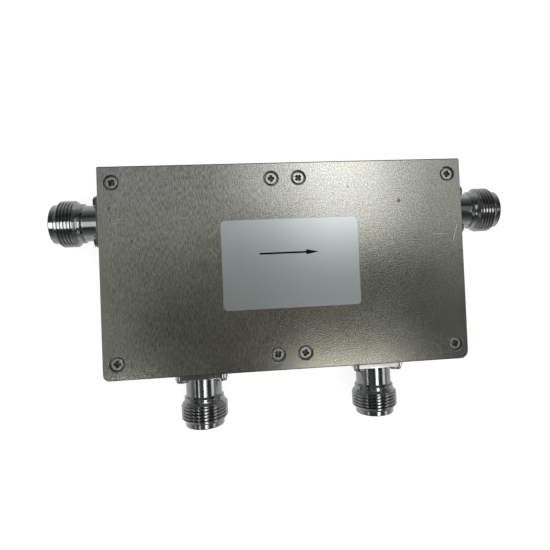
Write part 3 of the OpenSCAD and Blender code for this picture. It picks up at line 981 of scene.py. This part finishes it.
class ISOLATOR_OT_cover_screws(bpy.types.Operator):
    """Builds the eight screws of the cover"""

    bl_idname = "isolator.cover_screws"
    bl_label = "Cover screws"

    def execute(self, context):
        cover = sizes("cover")
        screw = sizes("cover_screw")
        form = Form()
        seat = COVER_HIGH.z - cover.counterbore_depth
        for i, (x, y) in enumerate(cover_screw_places(cover)):
            form.matrix = Matrix.Translation((x, y, seat)) @ Matrix.Rotation(screw.turn * i, 4, "Z")
            add_screw(form, screw)
        piece = form.made("cover_screw_set")
        dressed(piece, "cover_screws", "steel_screw", screw_steel("screw"), grained("recess"))
        return {"FINISHED"}


class ISOLATOR_OT_flange_screws(bpy.types.Operator):
    """Builds the four screws of each flange"""

    bl_idname = "isolator.flange_screws"
    bl_label = "Flange screws"

    def execute(self, context):
        socket = sizes("socket")
        screw = sizes("flange_screw")
        for name in HEADINGS:
            form = Form()
            flange, _ = socket_lengths(socket, name)
            for place in flange_places(socket.hole_gap, screw.turn):
                form.matrix = socket_place(name) @ Matrix.Translation((0, 0, flange)) @ place
                add_screw(form, screw)
            node = name + "_flange_screws"
            piece = form.made(node + "_set")
            dressed(piece, node, "steel_screw", screw_steel("dark_screw"), grained("recess"))
        return {"FINISHED"}


class ISOLATOR_OT_shells(bpy.types.Operator):
    """Builds the four threaded sockets with their flanges"""

    bl_idname = "isolator.shells"
    bl_label = "Sockets"

    def execute(self, context):
        socket = sizes("socket")
        for name in HEADINGS:
            form = Form(socket_place(name))
            add_shell(form, socket, *socket_lengths(socket, name))
            shell = form.made(name + "_threaded_shell", sharp=math.radians(40))
            turned = turned_nickel(socket_axis(name))
            # Painted shade: that one flange is coloured with the darker turned nickel instead of the milled
            # finish
            flange = turned if name == SHADE_PAINTED_FLANGE else milled_nickel()
            dressed(shell, name + "_shell", "bright_nickel", turned, flange)
        return {"FINISHED"}


class ISOLATOR_OT_contacts(bpy.types.Operator):
    """Builds the slotted contacts and finishes their insulators"""

    bl_idname = "isolator.contacts"
    bl_label = "Contacts and insulators"

    def execute(self, context):
        contact = sizes("contact")
        for name in HEADINGS:
            place = socket_place(name)
            near, far = [place.inverted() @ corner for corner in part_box(name + "_contact")]
            back, tip = sorted((near.z, far.z))
            form = Form(place)
            add_contact(form, contact, tip, back)
            piece = form.made(name + "_slotted_contact")
            slots = Form(place)
            add_slots(slots, contact, tip, back)
            carve(piece, slots.made("slots"))
            dressed(piece, name + "_contact", "gold_plate", grained("gold"))
            refinished(name + "_insulator", insulator_plastic())
        return {"FINISHED"}


class ISOLATOR_OT_label(bpy.types.Operator):
    """Builds the label, which carries only an arrow"""

    bl_idname = "isolator.label"
    bl_label = "Label"

    def execute(self, context):
        label = sizes("label")
        middle = (LABEL_LOW + LABEL_HIGH) / 2
        half = (LABEL_HIGH - LABEL_LOW) / 2
        form = Form(Matrix.Translation((middle.x, middle.y, 0)))
        levels = [(0, LABEL_LOW.z)] + edge_levels(label.edge, LABEL_HIGH.z, 1)
        rings = form.plate(half.x, half.y, [label.corner] * 4, levels)
        form.cap(rings[0])
        form.cap(rings[-1])
        dressed(form.made("label_plate"), "label", "label", label_film())
        return {"FINISHED"}


class ISOLATOR_OT_junctions(bpy.types.Operator):
    """Finishes the magnets, pole plates, ferrites, strips and capacitors inside"""

    bl_idname = "isolator.junctions"
    bl_label = "Junctions"

    def execute(self, context):
        for junction in JUNCTIONS:
            for level in ("lower_", "upper_"):
                refinished(junction + level + "magnet", stone("magnet", 0.5, 0.4))
                refinished(junction + level + "pole", grained("pole"))
                refinished(junction + level + "ferrite", stone("ferrite", 0.2, 0.2))
                refinished(junction + level + "film", grained("film"))
            for port in PORTS:
                refinished(junction + port + "_strip", silvered_copper())
                refinished(junction + port + "_capacitor", stone("capacitor", 0.4, 0.15))
        refinished("link_strip", silvered_copper())
        refinished("link_support", insulator_plastic())
        return {"FINISHED"}


# Each lamp's place, width and depth in millimetres, and its brightness, where 1 is white
LAMPS = {
    "key_lamp": (122, 167, 500, 130, 145, 1.72),
    "key_skirt": (125, 58, 500, 130, 72, 1.36),
    "key_fringe": (18, 160, 500, 75, 200, 0.68),
    "right_wing": (270, 130, 500, 160, 220, 0.38),
    "left_wing": (-140, 180, 500, 240, 320, 0.22),
    "left_side": (-235, -30, 500, 130, 220, 0.2),
    "left_skirt": (-140, -15, 500, 200, 70, 0.07),
    "left_low": (-225, -200, 500, 210, 120, 0.1),
    "right_lamp": (362, -25, 500, 56, 80, 1.1),
    "lower_lamp": (112, -222, 500, 130, 120, 1.95),
    "lower_skirt": (112, -147, 500, 150, 36, 0.3),
    "lower_fringe": (189, -163, 500, 24, 30, 2.1),
    "left_strip": (-690, -300, 500, 90, 260, 1.7),
    "right_strip": (900, -340, 500, 600, 300, 1.8),
    "near_strip": (-73, -88, 99, 7, 60, 4.0),
    "left_glint": (-74.3, 15.6, 23.5, 10.8, 4.2, 5.5),
    "left_band": (-66.1, 15.6, 23.5, 5.6, 4.2, 1.35),
    "right_glint": (79.6, 14, 34, 8.5, 5.5, 2.6),
    "lower_left_glint": (-26.6, -50.4, 34, 3.6, 19.2, 2.6),
    "lower_right_glint": (32.7, -50, 34, 4.0, 20, 2.6),
    "fill_lamp": (0, 0, 500, 900, 900, 0.8),
}
# Lamps with a grid, so that the cover doesn't mirror them towards the sides
GRIDDED_LAMPS = ["right_glint", "lower_left_glint", "lower_right_glint"]
# Watts per square metre at which an area lamp looks white
WHITE_POWER = 4


class ISOLATOR_OT_stage(bpy.types.Operator):
    """Sets up the floor, the world, the lamps and the camera"""

    bl_idname = "isolator.stage"
    bl_label = "Stage"

    def execute(self, context):
        stage = sizes("stage")
        self.lay_floor(stage)
        self.light_world(stage)
        self.hang_lamps(stage)
        self.place_camera(stage)
        context.scene.view_settings.view_transform = "Standard"
        return {"FINISHED"}

    def lay_floor(self, stage):
        form = Form()
        half = stage.floor / 2
        corners = [(-half, -half, 0), (half, -half, 0), (half, half, 0), (-half, half, 0)]
        form.mesh.faces.new(form.ring(corners))
        floor = form.made("floor")
        finish = Finish("floor_white")
        path = finish.node("ShaderNodeLightPath")
        seen = finish.outputs(path, "Is Camera Ray", "Is Glossy Ray", "Is Transmission Ray")
        floor.data.materials.append(
            finish.surface(
                Base_Color=(*[stage.floor_grey] * 3, 1),
                Roughness=1.0,
                Specular_IOR_Level=0.0,
                Emission_Color=finish.mix(most(seen), (0, 0, 0), (1, 1, 1)),
                Emission_Strength=stage.floor_glow,
            )
        )

    def light_world(self, stage):
        world = bpy.data.worlds.new("studio")
        world.use_nodes = True
        bpy.context.scene.world = world
        sky = Nodes(world.node_tree, "Generated")
        height = sky.axes()[2]
        haze = math.sin(stage.haze_height)
        above = sky.mix(
            sky.spread(height, haze, math.sin(stage.zenith_height)), [stage.haze] * 3, [stage.zenith] * 3
        )
        tint = sky.mix(sky.spread(height, 0, haze), [stage.horizon] * 3, above)
        shade = sky.node("ShaderNodeBackground", {"Color": tint, "Strength": 1.0})
        sky.node("ShaderNodeOutputWorld", {"Surface": shade}, out=None)

    def hang_lamps(self, stage):
        """Soft lamps that face straight down. Metal doesn't mirror the fill lamp."""
        for name, (x, y, z, width, depth, white) in LAMPS.items():
            lamp = bpy.data.lights.new(name, "AREA")
            lamp.shape = "RECTANGLE"
            lamp.size = width * MM
            lamp.size_y = depth * MM
            lamp.energy = white * WHITE_POWER * lamp.size * lamp.size_y
            if name in GRIDDED_LAMPS:
                lamp.spread = stage.grid
            lamp_object = added(name, lamp)
            lamp_object.location = Vector((x, y, z)) * MM
            lamp_object.visible_camera = False
            lamp_object.visible_glossy = name != "fill_lamp"

    def place_camera(self, stage):
        camera = bpy.data.cameras.new("camera")
        camera.sensor_width = 36
        camera.sensor_fit = "HORIZONTAL"
        camera.lens = stage.lens
        camera.shift_x = stage.shift_x
        camera.shift_y = stage.shift_y
        camera.clip_start = 10 * MM
        camera.clip_end = 100
        camera_object = added("camera", camera)
        camera_object.location = stage.camera_place
        camera_object.rotation_euler = stage.camera_turn
        bpy.context.scene.camera = camera_object


OPERATORS = [
    ISOLATOR_OT_housing,
    ISOLATOR_OT_cover,
    ISOLATOR_OT_cover_screws,
    ISOLATOR_OT_shells,
    ISOLATOR_OT_flange_screws,
    ISOLATOR_OT_contacts,
    ISOLATOR_OT_label,
    ISOLATOR_OT_junctions,
    ISOLATOR_OT_stage,
]


class ISOLATOR_PT_panel(bpy.types.Panel):
    """Lists the settings and the operators in the sidebar"""

    bl_idname = "ISOLATOR_PT_panel"
    bl_label = "Isolator"
    bl_space_type = "VIEW_3D"
    bl_region_type = "UI"
    bl_category = "Isolator"

    def draw(self, context):
        for operator in OPERATORS:
            self.layout.operator(operator.bl_idname)
        for name in SETTINGS:
            settings = sizes(name)
            box = self.layout.box()
            box.label(text=settings.bl_rna.description)
            for key in settings.bl_rna.properties.keys():
                if key not in ("rna_type", "name"):
                    box.prop(settings, key)


def register():
    for kind in (*SETTINGS.values(), *OPERATORS, ISOLATOR_PT_panel):
        bpy.utils.register_class(kind)
    for name, kind in SETTINGS.items():
        setattr(bpy.types.Scene, "isolator_" + name, PointerProperty(type=kind))


def unregister():
    for name in SETTINGS:
        delattr(bpy.types.Scene, "isolator_" + name)
    for kind in (ISOLATOR_PT_panel, *reversed(OPERATORS), *reversed(SETTINGS.values())):
        bpy.utils.unregister_class(kind)


def main():
    """Registers the settings and operators, and builds everything."""
    register()
    for operator in OPERATORS:
        getattr(bpy.ops.isolator, operator.bl_idname.split(".")[1])()


if __name__ == "__main__":
    main()
